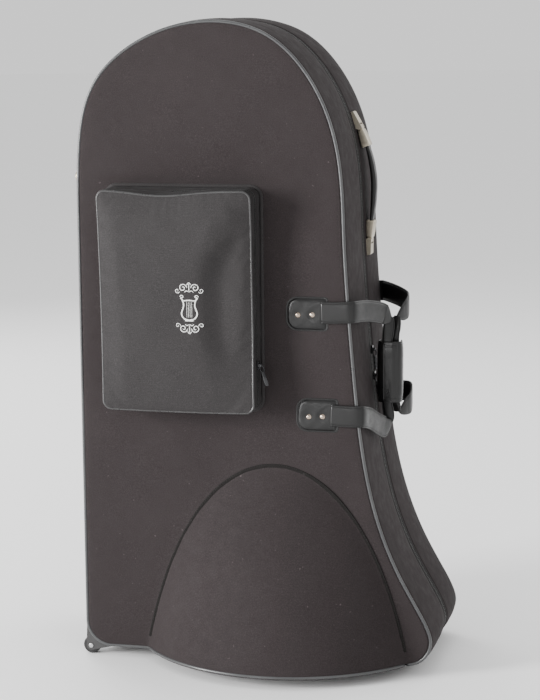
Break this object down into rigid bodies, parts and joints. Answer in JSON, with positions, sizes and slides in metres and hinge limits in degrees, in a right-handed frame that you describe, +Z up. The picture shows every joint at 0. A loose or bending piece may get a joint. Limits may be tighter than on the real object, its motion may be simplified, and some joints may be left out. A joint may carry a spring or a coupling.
{
  "type": "wheeled bell brass instrument case",
  "caption": "Tall black zip-round soft case for a large bell brass instrument, with bell bulges, front pocket, carrying straps, side handle and corner wheels.",
  "frame": {"origin": "on the floor under the middle of the case's bounding box, case standing upright", "axes": "+Z up; -Y is the front with the pocket; +X is the side with the handles, -X the hinge spine with the wheels"},
  "size_m": [0.6614, 0.5538, 1.1715],
  "materials": {
    "black_nylon": "matte",
    "pocket_nylon": "satin",
    "vinyl_piping": "satin",
    "foam_core": "matte",
    "plush_lining": "matte",
    "zipper_tape": "matte",
    "zipper_coil": "satin",
    "webbing": "matte",
    "black_leather": "satin",
    "champagne_metal": "satin",
    "gunmetal": "polished",
    "moulded_plastic": "matte",
    "axle_steel": "satin",
    "wheel_rubber": "matte",
    "silver_thread": "satin"
  },
  "bodies": {
    "case_back": {"back_cover": "black_nylon", "back_piping": "vinyl_piping", "back_wall_core": "foam_core", "back_panel_core": "foam_core", "back_lining": "plush_lining", "back_zip_tape": "zipper_tape", "back_zip_coil": "zipper_coil", "back_spine": "zipper_tape", "back_wheel_bracket": "moulded_plastic", "back_axle": "axle_steel", "back_foot": "wheel_rubber", "back_side_stud": "champagne_metal", "back_upper_patch": "black_leather", "back_lower_patch": "black_leather", "back_fasteners": "champagne_metal", "back_strap": "black_leather", "handle_base_upper": "champagne_metal", "handle_base_lower": "champagne_metal", "bow_cradle": "plush_lining", "throat_cradle": "plush_lining", "throat_strap": "webbing", "bow_strap": "webbing"},
    "case_front": {"front_cover": "black_nylon", "front_piping": "vinyl_piping", "front_wall_core": "foam_core", "front_panel_core": "foam_core", "front_lining": "plush_lining", "front_zip_tape": "zipper_tape", "front_zip_coil": "zipper_coil", "front_spine": "zipper_tape", "front_wheel_bracket": "moulded_plastic", "front_axle": "axle_steel", "front_foot": "wheel_rubber", "front_side_stud": "champagne_metal", "front_upper_patch": "black_leather", "front_lower_patch": "black_leather", "front_fasteners": "champagne_metal", "front_strap": "black_leather", "grip_wrap": "black_leather", "pocket_base": "pocket_nylon", "pocket_zip_coil": "zipper_coil", "pocket_fixed": "pocket_nylon", "pocket_fixed_piping": "vinyl_piping"},
    "front_wheel": {"front_wheel_hub": "moulded_plastic", "front_wheel_tyre": "wheel_rubber"},
    "back_wheel": {"back_wheel_hub": "moulded_plastic", "back_wheel_tyre": "wheel_rubber"},
    "handle_top_link": {"handle_end_upper": "champagne_metal"},
    "handle_bottom_link": {"handle_end_lower": "champagne_metal"},
    "handle_middle": {"handle_strip": "black_leather"},
    "upper_slider": {"upper_zip_slider": "gunmetal"},
    "upper_pull": {"upper_zip_pull": "gunmetal"},
    "lower_slider": {"lower_zip_slider": "gunmetal"},
    "lower_pull": {"lower_zip_pull": "gunmetal"},
    "pocket_lid": {"pocket_flap": "pocket_nylon", "pocket_flap_piping": "vinyl_piping", "pocket_emblem": "silver_thread"},
    "pocket_slider": {"pocket_zip_slider": "gunmetal"},
    "pocket_pull": {"pocket_zip_pull": "gunmetal"}
  },
  "joints": [
    {"name": "lid_hinge", "type": "hinge", "parent": "case_back", "child": "case_front", "pos_m": [-0.32075, 0.018, 0.02], "axis": [0, 0, -1], "range_deg": [0, 165]},
    {"name": "front_wheel_spin", "type": "hinge", "parent": "case_front", "child": "front_wheel", "pos_m": [-0.31425, -0.127, 0.0165], "axis": [0, 1, 0], "continuous": true},
    {"name": "back_wheel_spin", "type": "hinge", "parent": "case_back", "child": "back_wheel", "pos_m": [-0.31425, 0.127, 0.0165], "axis": [0, 1, 0], "continuous": true},
    {"name": "handle_top_pivot", "type": "hinge", "parent": "case_back", "child": "handle_top_link", "pos_m": [0.16225, 0.051, 0.974], "axis": [0, -1, 0], "range_deg": [0, 8]},
    {"name": "handle_bottom_pivot", "type": "hinge", "parent": "case_back", "child": "handle_bottom_link", "pos_m": [0.17975, 0.051, 0.768], "axis": [0, 1, 0], "range_deg": [0, 8]},
    {"name": "handle_pull_out", "type": "slide", "parent": "case_back", "child": "handle_middle", "axis": [0.9964, 0, 0.0846], "range_m": [0, 0.00419]},
    {"name": "upper_zip_run", "type": "slide", "parent": "case_back", "child": "upper_slider", "axis": [-0.0817, 0, 0.9967], "range_m": [0, 0.1]},
    {"name": "upper_pull_swing", "type": "hinge", "parent": "upper_slider", "child": "upper_pull", "pos_m": [0.19385, 0.018, 0.568], "axis": [0, -1, 0], "range_deg": [0, 150]},
    {"name": "lower_zip_run", "type": "slide", "parent": "case_back", "child": "lower_slider", "axis": [0.1077, 0, -0.9942], "range_m": [0, 0.06]},
    {"name": "lower_pull_swing", "type": "hinge", "parent": "lower_slider", "child": "lower_pull", "pos_m": [0.19815, 0.018, 0.52], "axis": [0, -1, 0], "range_deg": [0, 150]},
    {"name": "pocket_flap_fold", "type": "hinge", "parent": "case_front", "child": "pocket_lid", "pos_m": [-0.12975, -0.211, 0.679], "axis": [0, 0, -1], "range_deg": [0, 60]},
    {"name": "pocket_zip_run", "type": "slide", "parent": "case_front", "child": "pocket_slider", "axis": [0, 0, 1], "range_m": [-0.06, 0.27]},
    {"name": "pocket_pull_swing", "type": "hinge", "parent": "pocket_slider", "child": "pocket_pull", "pos_m": [0.02615, -0.1775, 0.565], "axis": [0, -1, 0], "range_deg": [0, 150]}
  ],
  "couplings": [
    {"joint": "handle_bottom_pivot", "follows": "handle_top_pivot", "ratio": 1},
    {"joint": "handle_pull_out", "follows": "handle_top_pivot", "m_per_rad": 0.03}
  ]
}
